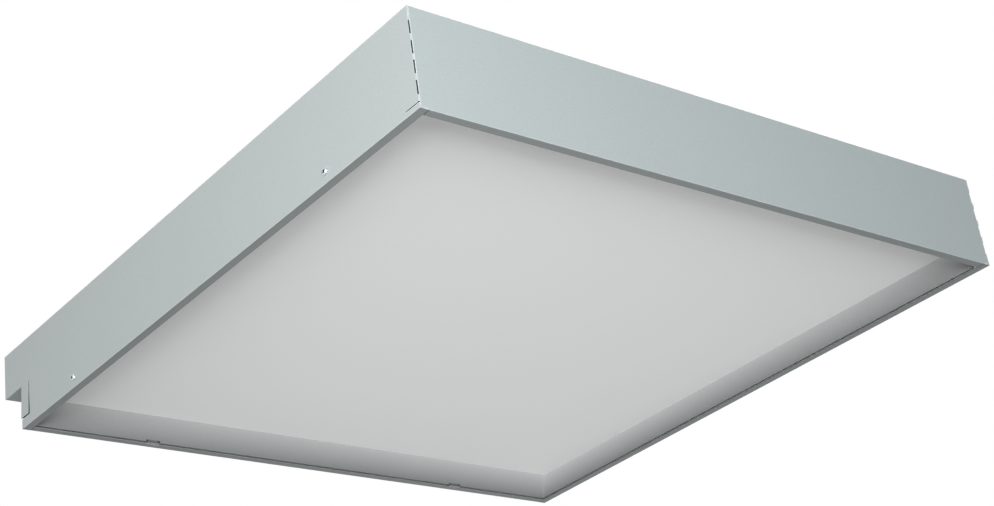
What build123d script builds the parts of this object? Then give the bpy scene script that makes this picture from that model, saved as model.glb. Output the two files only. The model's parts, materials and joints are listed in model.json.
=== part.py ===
from build123d import *
import os

# Recessed troffer light, millimetres. X runs left to right, Y front to back, Z up.
# The origin is the centre of the overall box, on the plane of the bottom rim.

# --- sheet steel housing ---
plan_width = 595.0          # outside width, for a 600 mm ceiling module
plan_length = 595.0         # outside length at the bottom rim
housing_height = 82.3
overhang_depth = 32.0       # how far the upper housing runs past the lower back wall
overhang_rise = 40.6        # underside of that overhang above the rim
sheet = 1.0                 # housing sheet thickness
rim_width = 7.5             # turned-in rim that shows from below
weld_return = 11.0          # inner side returns that the walls are welded by
top_turn_down = 8.0         # turned-down edge of the top plate

# --- cut and folded details of the side walls ---
tab_width = 15.0            # closing tab at the lower back corner
tab_foot = 9.0              # foot of that tab above the rim
tab_spring_out = 0.9        # how far the tab's foot stands proud
slit = 0.8                  # width of the laser-cut slits
rim_slit_height = 4.4       # relief slit at the front corners
rim_slit_length = 15.3
fold_slot_width = 0.8       # perforated fold of the front corners
fold_slot_length = 11.0
fold_slot_first = 16.3      # centre of the lowest slot
fold_slot_pitch = 16.1
fold_slot_count = 4

# --- side screws and leaf springs ---
side_screw_front = 113.0    # from the front face
side_screw_back = 97.0      # from the lower back face
side_screw_height = 9.3
m3_radius = 1.5
m3_hole_radius = 1.7
m3_head_radius = 3.1
m3_head_height = 1.6
m3_nut_flats = 5.5
m3_nut_height = 2.4
side_shank_length = 6.0
cross_width = 0.9
cross_length = 3.6
cross_depth = 0.8
spring_sheet = 0.5
spring_width = 14.0
spring_base_height = 11.0
spring_tip_rise = 4.5       # the tip leads back towards the wall
spring_tip_back = 2.6

# --- swinging diffuser frame ---
frame_sheet = 0.8
frame_foot = 1.3            # bottom edge of the frame above the rim plane
frame_gap = 0.6             # from the rim's inner edge to the frame
recess_depth = 23.0         # diffuser face above the rim plane
side_lean = 2.7             # how far the side skirts lean in over their height
end_lean = 10.1             # the same for the front and back skirts
side_ledge_gap = 1.1        # rim edge to the ledge, sides
end_ledge_gap = 1.5         # rim edge to the ledge, front and back
diffuser_thickness = 2.5
diffuser_inset = 0.2        # sheet edge inside the ledge edge
clip_sheet = 0.4
clip_length = 12.0
clip_grip = 4.0
clip_spread = 300.0         # between the two clips of one side
spring_clearance = 0.3

# --- hinge at the back rim ---
hinge_spread = 345.0        # between the two hinges
hinge_pin_radius = 0.55
hinge_running = 0.05
hinge_setback = 0.3         # axis inside the rim's inner edge
knuckle_wall = 0.6
knuckle_length = 10.0
hinge_side_play = 0.3
ear_thickness = 1.2
ear_root = 4.0
leaf_height = 11.0
hinge_notch_margin = 0.5

# --- four straight tube lamps ---
lamp_count = 4
lamp_pitch = 140.0
tube_radius = 13.0
tube_wall = 0.8
cap_radius = 13.4
cap_length = 10.0
cap_face = 0.8
cap_running = 0.05
pin_radius = 1.18
pin_length = 7.0
pin_spacing = 12.7

# --- rotary lampholders ---
holder_half_width = 12.0
holder_depth = 16.0         # along the lamp
holder_floor_gap = 2.7      # under the holder, above the overhang's floor
holder_gap = 0.5            # cap face to holder face
holder_wall_gap = 0.1       # holder back to the turned-down edge of the top plate
rotor_radius = 8.9
rotor_running = 0.1
rotor_length = 8.0
rotor_slot_play = 0.12
rotor_web = 1.0
rotor_end_play = 0.2
entry_slot_width = 3.2
contact_pocket_depth = 2.4
contact_pocket_width = 18.0
contact_pocket_height = 8.0
contact_width = 5.0
contact_height = 3.0
contact_thickness = 1.0

# --- control gear ---
gear_end_gap = 33.4         # gear cover's end to the holder faces
gear_sheet = 0.7
gear_foot_half = 44.0
gear_shoulder_half = 32.0
gear_nose_half = 26.0
gear_drop = 31.0
gear_screw_inset = 22.0
gear_screw_shank = 4.2
ballast_width = 40.0
ballast_height = 21.0
ballast_wall = 0.8
ballast_base_sheet = 1.0
board_thickness = 1.6
board_stand_off = 4.0
choke_size = 16.0
socket_width = 12.0
socket_depth = 8.0
socket_height = 10.0

# --- supply terminal ---
terminal_width = 20.0
terminal_length = 24.0
terminal_height = 16.0
terminal_gap = 22.0         # from the gear sockets to the terminal
terminal_pitch = 6.0
terminal_poles = 3
button_width = 3.8
button_length = 5.0
button_height = 6.0
button_stand = 1.6
button_travel = 1.2
button_running = 0.1
clamp_width = 3.4
clamp_length = 9.0
clamp_thickness = 1.0
clamp_depth = 3.0
clamp_running = 0.1
supply_hole_radius = 1.4

# --- wiring ---
lamp_wire_radius = 1.75
lamp_wire_drop = 5.3        # wire axis below the top plate
lamp_wire_bend = 18.0
mains_wire_radius = 1.2
saddle_length = 6.0
saddle_wall = 1.4
saddle_play = 0.1
saddle_spread = 60.0        # outer wire saddles either side of mid span

# --- earth point ---
stud_radius = 2.0
stud_length = 11.0
nut_flats = 7.0
nut_height = 3.2
lug_radius = 4.2
lug_thickness = 0.8
stud_gap = 9.5              # in front of the terminal

# --- top plate openings ---
suspension_x = 300.0
suspension_y = 480.0
suspension_hole_radius = 3.5
entry_hole_radius = 10.0
entry_gap = 26.0            # centre of each entry to the gear beside it
cable_entry_inset = 52.0    # from the back end of the gear cover
grommet_running = 0.1
grommet_lip = 2.5
grommet_lip_height = 2.2
grommet_cone_height = 4.0
cable_radius = 4.5
plug_floor = 1.5
bead_x = 232.0              # pressed stiffening beads
bead_length = 520.0
bead_half_width = 6.0
bead_height = 1.8

# --- worked out from the values above ---
left = -plan_width / 2
right = plan_width / 2
front = -(plan_length + overhang_depth) / 2
back_low = front + plan_length
back_up = back_low + overhang_depth
mid_low = (front + back_low) / 2
ceiling = housing_height - sheet
skirt_inset = rim_width + frame_gap
hinge_y = back_low - rim_width - hinge_setback
hinge_z = frame_foot
knuckle_radius = hinge_pin_radius + hinge_running + knuckle_wall
lamp_z = overhang_rise + sheet + holder_floor_gap + holder_half_width
holder_back = back_up - 2 * sheet - holder_wall_gap
holder_face = holder_back - holder_depth
lamp_end = holder_face - holder_gap
gear_length = 2 * (holder_face - gear_end_gap)
wire_z = ceiling - lamp_wire_drop
cable_entry_y = gear_length / 2 - cable_entry_inset
blank_entry_y = entry_gap - gear_length / 2
terminal_back = cable_entry_y - entry_gap
terminal_front = terminal_back - terminal_length
ballast_front = blank_entry_y + entry_gap
ballast_back = terminal_front - terminal_gap - socket_depth
ballast_length = ballast_back - ballast_front
ballast_centre_y = (ballast_front + ballast_back) / 2
side_ledge = rim_width + side_ledge_gap
end_ledge = rim_width + end_ledge_gap
diffuser_top = recess_depth + diffuser_thickness


def block(x0, x1, y0, y1, z0, z1):
    size = Box(x1 - x0, y1 - y0, z1 - z0)
    return Pos((x0 + x1) / 2, (y0 + y1) / 2, (z0 + z1) / 2) * size


def rod_z(x, y, z0, z1, radius):
    return Pos(x, y, (z0 + z1) / 2) * Cylinder(radius, z1 - z0)


def rod_y(x, y0, y1, z, radius):
    return Pos(x, (y0 + y1) / 2, z) * Rot(90, 0, 0) * Cylinder(radius, y1 - y0)


def rod_x(x0, x1, y, z, radius):
    return Pos((x0 + x1) / 2, y, z) * Rot(0, 90, 0) * Cylinder(radius, x1 - x0)


def hex_z(x, y, z0, z1, flats):
    outline = RegularPolygon(flats / 2, 6, major_radius=False)
    return Pos(x, y, z0) * extrude(outline, z1 - z0)


def lamp_x(index):
    return (index - (lamp_count - 1) / 2) * lamp_pitch


def screw_ys():
    return [front + side_screw_front, back_low - side_screw_back]


def hinge_xs():
    return [-hinge_spread / 2, hinge_spread / 2]


def save(node, solids):
    group = solids if isinstance(solids, list) else [solids]
    pieces = []
    for item in group:
        pieces += list(item.solids())
    shape = pieces[0] if len(pieces) == 1 else Compound(children=pieces)
    export_step(shape, "parts/" + node + ".step")


# ---------------------------------------------------------------- housing

def closing_tab():
    # A strip of the side wall, free on three sides, whose foot springs out a little.
    y0 = back_low - tab_width + slit
    foot = tab_foot + slit
    outline = [
        (left, overhang_rise),
        (left - tab_spring_out, foot),
        (left - tab_spring_out + sheet, foot),
        (left + sheet, overhang_rise),
    ]
    profile = Plane.XZ * make_face(Polyline(*outline, close=True))
    return Pos(0, back_low, 0) * extrude(profile, back_low - y0)


def left_wall():
    wall = block(left, left + sheet, front, back_low, 0, housing_height)
    wall += block(left, left + sheet, back_low, back_up, overhang_rise, housing_height)
    wall += block(left, left + rim_width, front, back_low, 0, sheet)
    wall -= block(left, left + sheet, back_low - tab_width, back_low, tab_foot, overhang_rise)
    wall += closing_tab()
    slit_top = rim_slit_height + slit
    wall -= block(left, left + sheet, front, front + rim_slit_length, rim_slit_height, slit_top)
    for index in range(fold_slot_count):
        middle = fold_slot_first + index * fold_slot_pitch
        low = middle - fold_slot_length / 2
        high = middle + fold_slot_length / 2
        wall -= block(left, left + sheet, front, front + fold_slot_width, low, high)
    for y in screw_ys():
        wall -= rod_x(left - sheet, left + 2 * sheet, y, side_screw_height, m3_hole_radius)
    return wall


def front_wall():
    wall = block(left + sheet, right - sheet, front, front + sheet, sheet, housing_height)
    wall += block(left + rim_width, right - rim_width, front, front + rim_width, 0, sheet)
    head = ceiling - top_turn_down
    for side in (-1, 1):
        face = side * (plan_width / 2 - sheet)
        x0, x1 = sorted((face, face - side * sheet))
        wall += block(x0, x1, front + sheet, front + weld_return, sheet, head)
    return wall


def hinge_notch(x):
    reach = knuckle_length / 2 + hinge_side_play + ear_thickness + hinge_notch_margin
    depth = knuckle_radius + hinge_notch_margin
    return block(x - reach, x + reach, hinge_y - depth, hinge_y + depth, -sheet, 2 * sheet)


def back_lower_wall():
    wall = block(left + sheet, right - sheet, back_low - sheet, back_low, sheet, overhang_rise)
    wall += block(left + rim_width, right - rim_width, back_low - rim_width, back_low, 0, sheet)
    for side in (-1, 1):
        face = side * (plan_width / 2 - sheet)
        x0, x1 = sorted((face, face - side * sheet))
        wall += block(x0, x1, back_low - tab_width - slit, back_low, sheet, overhang_rise)
    for x in hinge_xs():
        wall -= hinge_notch(x)
    return wall


def back_upper_wall():
    ledge_top = overhang_rise + sheet
    wall = block(left + sheet, right - sheet, back_low - sheet, back_up, overhang_rise, ledge_top)
    wall += block(left + sheet, right - sheet, back_up - sheet, back_up, ledge_top, housing_height)
    return wall


def stiffening_bead(x):
    # A shallow pressed rib: solid outside shape less the hollow beneath it.
    slope = bead_height
    outer = Rectangle(2 * bead_half_width, bead_length)
    crest = Rectangle(2 * (bead_half_width - slope), bead_length - 2 * slope)
    shell = loft([Pos(x, 0, housing_height) * outer, Pos(x, 0, housing_height + bead_height) * crest])
    under = loft([Pos(x, 0, ceiling) * outer, Pos(x, 0, ceiling + bead_height) * crest])
    return shell, under


def top_plate():
    x = plan_width / 2 - sheet
    y0 = front + sheet
    y1 = back_up - sheet
    plate = block(-x, x, y0, y1, ceiling, housing_height)
    low = ceiling - top_turn_down
    plate += block(-x, -x + sheet, y0, y1, low, ceiling)
    plate += block(x - sheet, x, y0, y1, low, ceiling)
    plate += block(-x, x, y0, y0 + sheet, low, ceiling)
    plate += block(-x, x, y1 - sheet, y1, low, ceiling)
    for side in (-1, 1):
        shell, under = stiffening_bead(side * bead_x)
        plate += shell
        plate -= under
    for side in (-1, 1):
        for end in (-1, 1):
            x_hole = side * suspension_x / 2
            y_hole = end * suspension_y / 2
            plate -= rod_z(x_hole, y_hole, low, housing_height + sheet, suspension_hole_radius)
    for x_hole, y_hole in gear_screw_places():
        plate -= rod_z(x_hole, y_hole, low, housing_height + sheet, m3_hole_radius)
    for y in (cable_entry_y, blank_entry_y):
        plate -= rod_z(0, y, low, housing_height + sheet, entry_hole_radius)
    return plate


# ---------------------------------------------------------------- side fasteners

def side_screw(y):
    outer = left - m3_head_height
    screw = rod_x(outer, left, y, side_screw_height, m3_head_radius)
    edge = screw.faces().sort_by(Axis.X)[0].edges()
    screw = fillet(edge, m3_head_height * 0.45)
    screw += rod_x(left, left + side_shank_length, y, side_screw_height, m3_radius)
    half = cross_length / 2
    z = side_screw_height
    wide = cross_width / 2
    screw -= block(outer, outer + cross_depth, y - half, y + half, z - wide, z + wide)
    screw -= block(outer, outer + cross_depth, y - wide, y + wide, z - half, z + half)
    return screw


def side_nut(y):
    x0 = left + sheet + spring_sheet
    outline = RegularPolygon(m3_nut_flats / 2, 6, major_radius=False)
    nut = Plane.YZ * extrude(outline, m3_nut_height)
    nut = Pos(x0, y, side_screw_height) * nut
    return nut - rod_x(x0, x0 + m3_nut_height, y, side_screw_height, m3_radius + saddle_play)


def leaf_spring(y):
    # Base against the wall, nose by the frame's ledge, tip led back to the wall.
    base = left + sheet
    foot = side_screw_height - spring_base_height / 2
    head = side_screw_height + spring_base_height / 2
    nose = left + side_ledge - spring_clearance
    nose_z = recess_depth - frame_sheet / 2
    tip_z = nose_z + spring_tip_rise
    outline = [
        (base, foot),
        (base + spring_sheet, foot),
        (base + spring_sheet, head),
        (nose, nose_z),
        (nose - spring_tip_back, tip_z),
        (nose - spring_tip_back - spring_sheet, tip_z),
        (nose - 1.6 * spring_sheet, nose_z),
        (base, head + spring_sheet),
    ]
    profile = Plane.XZ * make_face(Polyline(*outline, close=True))
    spring = Pos(0, y + spring_width / 2, 0) * extrude(profile, spring_width)
    return spring - rod_x(base - sheet, base + sheet, y, side_screw_height, m3_hole_radius)


def both_sides(make):
    pieces = []
    for y in screw_ys():
        one = make(y)
        pieces.append(one)
        pieces.append(mirror(one, about=Plane.YZ))
    return pieces


# ---------------------------------------------------------------- diffuser frame

def opening_rectangle(side_inset, end_inset, z):
    outline = Rectangle(plan_width - 2 * side_inset, plan_length - 2 * end_inset)
    return Pos(0, mid_low, z) * outline


def skirt_void(side_offset, end_offset):
    low = opening_rectangle(skirt_inset + side_offset, skirt_inset + end_offset, frame_foot)
    side_top = skirt_inset + side_offset + side_lean
    end_top = skirt_inset + end_offset + end_lean
    high = opening_rectangle(side_top, end_top, recess_depth)
    return loft([low, high], ruled=True)


def frame_ring():
    inner = skirt_void(frame_sheet, frame_sheet)
    ring = skirt_void(0, 0)
    ledge = extrude(opening_rectangle(side_ledge, end_ledge, recess_depth - frame_sheet), frame_sheet)
    ring += ledge
    ring -= inner
    for x in hinge_xs():
        reach = knuckle_length / 2 + hinge_side_play + ear_thickness + hinge_notch_margin
        top = hinge_z + knuckle_radius + hinge_notch_margin
        ring -= block(x - reach, x + reach, back_low - 2 * skirt_inset, back_low, 0, top)
    return ring


def end_region(end):
    # Plan outline of the front (-1) or back (1) rail, mitred along its corner lines.
    across = side_lean + frame_sheet
    along = end_lean + frame_sheet
    x_out = plan_width / 2 - skirt_inset + across / 2
    y_out = plan_length / 2 - skirt_inset + along / 2
    x_in = plan_width / 2 - skirt_inset - 2 * across
    y_in = plan_length / 2 - skirt_inset - 2 * along
    outline = [
        (-x_out, mid_low + end * y_out),
        (x_out, mid_low + end * y_out),
        (x_in, mid_low + end * y_in),
        (-x_in, mid_low + end * y_in),
    ]
    return extrude(make_face(Polyline(*outline, close=True)), diffuser_top)


def diffuser_sheet():
    inset_x = side_ledge + diffuser_inset
    inset_y = end_ledge + diffuser_inset
    sheet_body = extrude(opening_rectangle(inset_x, inset_y, recess_depth), diffuser_thickness)
    return sheet_body


def clip_profile(edge, direction):
    # C section round the ledge and the sheet; direction points away from the opening.
    low = recess_depth - frame_sheet
    under = clip_grip * 0.45
    points = [
        (edge + direction * clip_sheet, low - clip_sheet),
        (edge + direction * clip_sheet, diffuser_top + clip_sheet),
        (edge - direction * clip_grip, diffuser_top + clip_sheet),
        (edge - direction * clip_grip, diffuser_top),
        (edge, diffuser_top),
        (edge, low),
        (edge - direction * under, low),
        (edge - direction * under, low - clip_sheet),
    ]
    return make_face(Polyline(*points, close=True))


def diffuser_clips():
    clips = []
    for side in (-1, 1):
        profile = Plane.XZ * clip_profile(side * (plan_width / 2 - side_ledge), side)
        bar = extrude(profile, clip_length)
        for end in (-1, 1):
            y = mid_low + end * clip_spread / 2 + clip_length / 2
            clips.append(Pos(0, y, 0) * bar)
    for end in (-1, 1):
        profile = Plane.YZ * clip_profile(end * (plan_length / 2 - end_ledge), end)
        bar = Pos(0, mid_low, 0) * extrude(profile, clip_length)
        for side in (-1, 1):
            x = side * clip_spread / 2 - clip_length / 2
            clips.append(Pos(x, 0, 0) * bar)
    return clips


# ---------------------------------------------------------------- hinge

def hinge_knuckle(x):
    half = knuckle_length / 2
    face = back_low - skirt_inset
    leaf_top = hinge_z + leaf_height
    lean = end_lean / (recess_depth - frame_foot)
    start = hinge_z
    outline = [
        (face - lean * (start - frame_foot), start),
        (face - lean * (leaf_top - frame_foot), leaf_top),
        (face - lean * (leaf_top - frame_foot) + knuckle_wall, leaf_top),
        (face - lean * (start - frame_foot) + knuckle_wall, start),
    ]
    profile = Plane.YZ * make_face(Polyline(*outline, close=True))
    leaf = Pos(x - half, 0, 0) * extrude(profile, knuckle_length)
    barrel = rod_x(x - half, x + half, hinge_y, hinge_z, knuckle_radius)
    bore = rod_x(x - half, x + half, hinge_y, hinge_z, hinge_pin_radius + hinge_running)
    return leaf + barrel - bore


def hinge_pin(x):
    reach = knuckle_length / 2 + hinge_side_play + ear_thickness
    return rod_x(x - reach, x + reach, hinge_y, hinge_z, hinge_pin_radius)


def hinge_ears(x):
    ears = []
    start = knuckle_length / 2 + hinge_side_play
    root = back_low - ear_root
    for side in (-1, 1):
        x0, x1 = sorted((x + side * start, x + side * (start + ear_thickness)))
        ear = rod_x(x0, x1, hinge_y, hinge_z, knuckle_radius)
        ear += block(x0, x1, hinge_y, root, sheet, hinge_z + knuckle_radius)
        ear -= block(x0, x1, back_low - rim_width, root, 0, sheet)
        ear -= rod_x(x0, x1, hinge_y, hinge_z, hinge_pin_radius)
        ears.append(ear)
    return ears


# ---------------------------------------------------------------- lamps and holders

def both_ends(piece):
    return [piece, mirror(piece, about=Plane.XZ)]


def lamp_tube(x):
    glass_end = lamp_end - cap_face - cap_running
    glass = rod_y(x, -glass_end, glass_end, lamp_z, tube_radius)
    return glass - rod_y(x, -glass_end, glass_end, lamp_z, tube_radius - tube_wall)


def lamp_cap(x):
    start = lamp_end - cap_length
    cap = rod_y(x, start, lamp_end, lamp_z, cap_radius)
    rim = cap.faces().sort_by(Axis.Y)[-1].edges()
    cap = fillet(rim, cap_face)
    cap -= rod_y(x, start, lamp_end - cap_face, lamp_z, tube_radius + cap_running)
    return cap


def lamp_pins(x):
    pins = []
    for side in (-1, 1):
        pin = rod_y(x + side * pin_spacing / 2, lamp_end, lamp_end + pin_length, lamp_z, pin_radius)
        pins += both_ends(pin)
    return pins


def holder_rotor(x):
    rotor = rod_y(x, holder_face, holder_face + rotor_length, lamp_z, rotor_radius)
    half = pin_radius + rotor_slot_play
    slot_end = holder_face + rotor_length - rotor_web
    rotor -= block(x - rotor_radius, x + rotor_radius, holder_face, slot_end, lamp_z - half, lamp_z + half)
    return rotor


def lampholder(x):
    body = block(x - holder_half_width, x + holder_half_width, holder_face, holder_back, lamp_z, ceiling)
    body += rod_y(x, holder_face, holder_back, lamp_z, holder_half_width)
    bore_end = holder_face + rotor_length + rotor_end_play
    body -= rod_y(x, holder_face, bore_end, lamp_z, rotor_radius + rotor_running)
    low = lamp_z - holder_half_width
    half = entry_slot_width / 2
    body -= block(x - half, x + half, holder_face, bore_end, low, lamp_z)
    wide = contact_pocket_width / 2
    tall = contact_pocket_height / 2
    pocket_end = bore_end + contact_pocket_depth
    body -= block(x - wide, x + wide, bore_end, pocket_end, lamp_z - tall, lamp_z + tall)
    return body


def holder_contacts(x):
    contacts = []
    pocket_end = holder_face + rotor_length + rotor_end_play + contact_pocket_depth
    half = contact_height / 2
    for side in (-1, 1):
        middle = x + side * pin_spacing / 2
        x0 = middle - contact_width / 2
        x1 = middle + contact_width / 2
        start = pocket_end - contact_thickness
        contact = block(x0, x1, start, pocket_end, lamp_z - half, lamp_z + half)
        contacts += both_ends(contact)
    return contacts


# ---------------------------------------------------------------- control gear

def gear_screw_places():
    x = (gear_foot_half + gear_shoulder_half) / 2
    y = gear_length / 2 - gear_screw_inset
    return [(side * x, end * y) for side in (-1, 1) for end in (-1, 1)]


def gear_profile():
    top = ceiling
    low = ceiling - gear_drop
    side = [
        (gear_foot_half, top),
        (gear_foot_half, top - gear_sheet),
        (gear_shoulder_half + gear_sheet, top - gear_sheet),
        (gear_nose_half + gear_sheet, low),
    ]
    inner = [
        (gear_nose_half, low + gear_sheet),
        (gear_shoulder_half, top),
    ]
    outline = side + [(-x, z) for x, z in reversed(side)]
    outline += [(-x, z) for x, z in reversed(inner)] + inner
    return make_face(Polyline(*outline, close=True))


def gear_cover():
    profile = Plane.XZ * gear_profile()
    cover = Pos(0, gear_length / 2, 0) * extrude(profile, gear_length)
    for x, y in gear_screw_places():
        cover -= rod_z(x, y, ceiling - 2 * gear_sheet, ceiling, m3_hole_radius)
    return cover


def gear_screws():
    screws = []
    head_top = ceiling - gear_sheet
    for x, y in gear_screw_places():
        screw = rod_z(x, y, head_top - m3_head_height, head_top, m3_head_radius)
        edge = screw.faces().sort_by(Axis.Z)[0].edges()
        screw = fillet(edge, m3_head_height * 0.45)
        screw += rod_z(x, y, head_top, head_top + gear_screw_shank, m3_radius)
        screws.append(screw)
    return screws


def ballast_base():
    half = ballast_width / 2
    return block(-half, half, ballast_front, ballast_back, ceiling - ballast_base_sheet, ceiling)


def ballast_case():
    half = ballast_width / 2
    top = ceiling - ballast_base_sheet
    low = top - ballast_height
    case = block(-half, half, ballast_front, ballast_back, low, top)
    case = fillet(case.edges().filter_by(Axis.Y).sort_by(Axis.Z)[:2], 2 * ballast_wall)
    wall = ballast_wall
    case -= block(-half + wall, half - wall, ballast_front + wall, ballast_back - wall, low + wall, top)
    return case


def ballast_board():
    half = ballast_width / 2 - 2 * ballast_wall
    top = ceiling - ballast_base_sheet - board_stand_off
    y0 = ballast_front + 2 * ballast_wall
    y1 = ballast_back - 2 * ballast_wall
    board = block(-half, half, y0, y1, top - board_thickness, top)
    foot = ceiling - ballast_base_sheet
    for end in (-1, 1):
        y = ballast_centre_y + end * ballast_length / 3
        board += block(-half, -half + board_stand_off, y, y + board_stand_off, top, foot)
        board += block(half - board_stand_off, half, y, y + board_stand_off, top, foot)
    low = top - board_thickness
    choke_half = choke_size / 2
    choke_low = low - choke_size * 0.7
    for end in (-1, 0, 1):
        y = ballast_centre_y + end * ballast_length / 4
        board += block(-choke_half, choke_half, y - choke_half, y + choke_half, choke_low, low)
    return board


def gear_sockets():
    sockets = []
    top = ceiling - ballast_base_sheet
    low = top - socket_height
    outer = ballast_width / 2
    for side in (-1, 1):
        x0, x1 = sorted((side * outer, side * (outer - socket_width)))
        sockets.append(block(x0, x1, ballast_back, ballast_back + socket_depth, low, top))
        sockets.append(block(x0, x1, ballast_front - socket_depth, ballast_front, low, top))
    inner = outer - socket_width - saddle_play
    sockets.append(block(-inner, inner, ballast_back, ballast_back + socket_depth, low, top))
    return sockets


# ---------------------------------------------------------------- supply terminal

def pole_x(index):
    return (index - (terminal_poles - 1) / 2) * terminal_pitch


def button_centre_y():
    return (terminal_front + terminal_back) / 2


def terminal_low():
    return ceiling - terminal_height


def terminal_body():
    half = terminal_width / 2
    low = terminal_low()
    body = block(-half, half, terminal_front, terminal_back, low, ceiling)
    y = button_centre_y()
    wide = button_width / 2 + button_running
    long = button_length / 2 + button_running
    deep = button_height - button_stand + button_travel + button_running
    for index in range(terminal_poles):
        x = pole_x(index)
        body -= block(x - wide, x + wide, y - long, y + long, low, low + deep)
        body -= rod_y(x, terminal_back - 3 * supply_hole_radius, terminal_back, wire_z, supply_hole_radius)
        body -= clamp_block(x, clamp_running)
    return body


def clamp_block(x, play):
    wide = clamp_width / 2 + play
    y1 = terminal_front + clamp_depth + clamp_length + play
    y0 = terminal_front + clamp_depth - play
    top = ceiling - clamp_thickness + play
    return block(x - wide, x + wide, y0, y1, top - clamp_thickness - 2 * play, top)


def terminal_button(index):
    x = pole_x(index)
    y = button_centre_y()
    low = terminal_low() - button_stand
    wide = button_width / 2
    long = button_length / 2
    return block(x - wide, x + wide, y - long, y + long, low, low + button_height)


def cable_grommet():
    lip = entry_hole_radius + grommet_lip
    neck = entry_hole_radius - grommet_running
    body = rod_z(0, cable_entry_y, ceiling, housing_height, neck)
    body += rod_z(0, cable_entry_y, housing_height, housing_height + grommet_lip_height, lip)
    body += rod_z(0, cable_entry_y, ceiling - grommet_lip_height, ceiling, lip)
    cone = Cone(neck, cable_radius + grommet_lip, grommet_cone_height)
    cone_z = housing_height + grommet_lip_height + grommet_cone_height / 2
    body += Pos(0, cable_entry_y, cone_z) * cone
    top = housing_height + grommet_lip_height + grommet_cone_height
    return body - rod_z(0, cable_entry_y, ceiling - grommet_lip_height, top, cable_radius)


def blank_plug():
    lip = entry_hole_radius + grommet_lip
    neck = entry_hole_radius - grommet_running
    body = rod_z(0, blank_entry_y, housing_height, housing_height + grommet_lip_height, lip)
    edge = body.faces().sort_by(Axis.Z)[-1].edges()
    body = fillet(edge, grommet_lip_height / 2)
    body += rod_z(0, blank_entry_y, ceiling - grommet_lip_height, housing_height, neck)
    cup = neck - plug_floor
    return body - rod_z(0, blank_entry_y, ceiling - grommet_lip_height, housing_height, cup)


# ---------------------------------------------------------------- wiring and earth

def wire_x():
    return ballast_width / 2 - socket_width / 2


def wire_y():
    return (holder_face + holder_back) / 2


def tube_along(path, radius):
    start = path @ 0
    direction = path % 0
    section = Plane(origin=start, z_dir=direction) * Circle(radius)
    return sweep(section, path=path)


def inner_lamp_wire(side, end):
    start = ballast_back + socket_depth if end > 0 else ballast_front - socket_depth
    x = side * wire_x()
    holder_side = side * (lamp_x(lamp_count // 2) - holder_half_width)
    route = FilletPolyline(
        (x, start, wire_z),
        (x, end * wire_y(), wire_z),
        (holder_side, end * wire_y(), wire_z),
        radius=lamp_wire_bend,
    )
    return tube_along(route, lamp_wire_radius)


def outer_lamp_wire(side, end):
    x0 = lamp_x(lamp_count // 2) + holder_half_width
    x1 = lamp_x(lamp_count - 1) - holder_half_width
    lo, hi = sorted((side * x0, side * x1))
    return rod_x(lo, hi, end * wire_y(), wire_z, lamp_wire_radius)


def lamp_wires():
    wires = []
    for side in (-1, 1):
        for end in (-1, 1):
            wires.append(inner_lamp_wire(side, end))
            wires.append(outer_lamp_wire(side, end))
    return wires


def stud_y():
    return terminal_front - stud_gap


def stud_x():
    return pole_x(terminal_poles - 1)


def mains_wires():
    wires = []
    socket = ballast_back + socket_depth
    for index in range(terminal_poles - 1):
        wires.append(rod_y(pole_x(index), socket, terminal_front, wire_z, mains_wire_radius))
    lug_edge = stud_y() + lug_radius
    wires.append(rod_y(stud_x(), lug_edge, terminal_front, wire_z, mains_wire_radius))
    return wires


def wire_saddle(x, y, along_x):
    wide = lamp_wire_radius + saddle_play + saddle_wall
    low = wire_z - wide
    half = saddle_length / 2
    hole = lamp_wire_radius + saddle_play
    if along_x:
        body = block(x - half, x + half, y - wide, y + wide, low, ceiling)
        return body - rod_x(x - half, x + half, y, wire_z, hole)
    body = block(x - wide, x + wide, y - half, y + half, low, ceiling)
    return body - rod_y(x, y - half, y + half, wire_z, hole)


def wire_saddles():
    saddles = []
    outer = (lamp_x(lamp_count // 2) + lamp_x(lamp_count - 1)) / 2
    run_end = gear_length / 2 - saddle_length
    for side in (-1, 1):
        for end in (-1, 1):
            saddles.append(wire_saddle(side * wire_x(), end * run_end, False))
            saddles.append(wire_saddle(side * (outer - saddle_spread / 2), end * wire_y(), True))
            saddles.append(wire_saddle(side * (outer + saddle_spread / 2), end * wire_y(), True))
    return saddles


def earth_point():
    x = stud_x()
    y = stud_y()
    stud = rod_z(x, y, ceiling - stud_length, ceiling, stud_radius)
    lug_low = wire_z - lug_thickness / 2
    lug_top = lug_low + lug_thickness
    nut_hole = stud_radius + saddle_play
    lug = rod_z(x, y, lug_low, lug_top, lug_radius)
    lug -= rod_z(x, y, lug_low, lug_top, nut_hole)
    upper = hex_z(x, y, lug_top, ceiling, nut_flats)
    upper -= rod_z(x, y, lug_top, ceiling, nut_hole)
    lower = hex_z(x, y, lug_low - nut_height, lug_low, nut_flats)
    lower -= rod_z(x, y, lug_low - nut_height, lug_low, nut_hole)
    return [stud, lug, upper, lower]


# ---------------------------------------------------------------- write every node

def save_housing():
    wall = left_wall()
    save("left_wall", wall)
    save("right_wall", mirror(wall, about=Plane.YZ))
    save("front_wall", front_wall())
    save("back_lower_wall", back_lower_wall())
    save("back_upper_wall", back_upper_wall())
    save("top_plate", top_plate())
    save("side_screws", both_sides(side_screw))
    save("side_nuts", both_sides(side_nut))
    save("leaf_springs", both_sides(leaf_spring))


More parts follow.
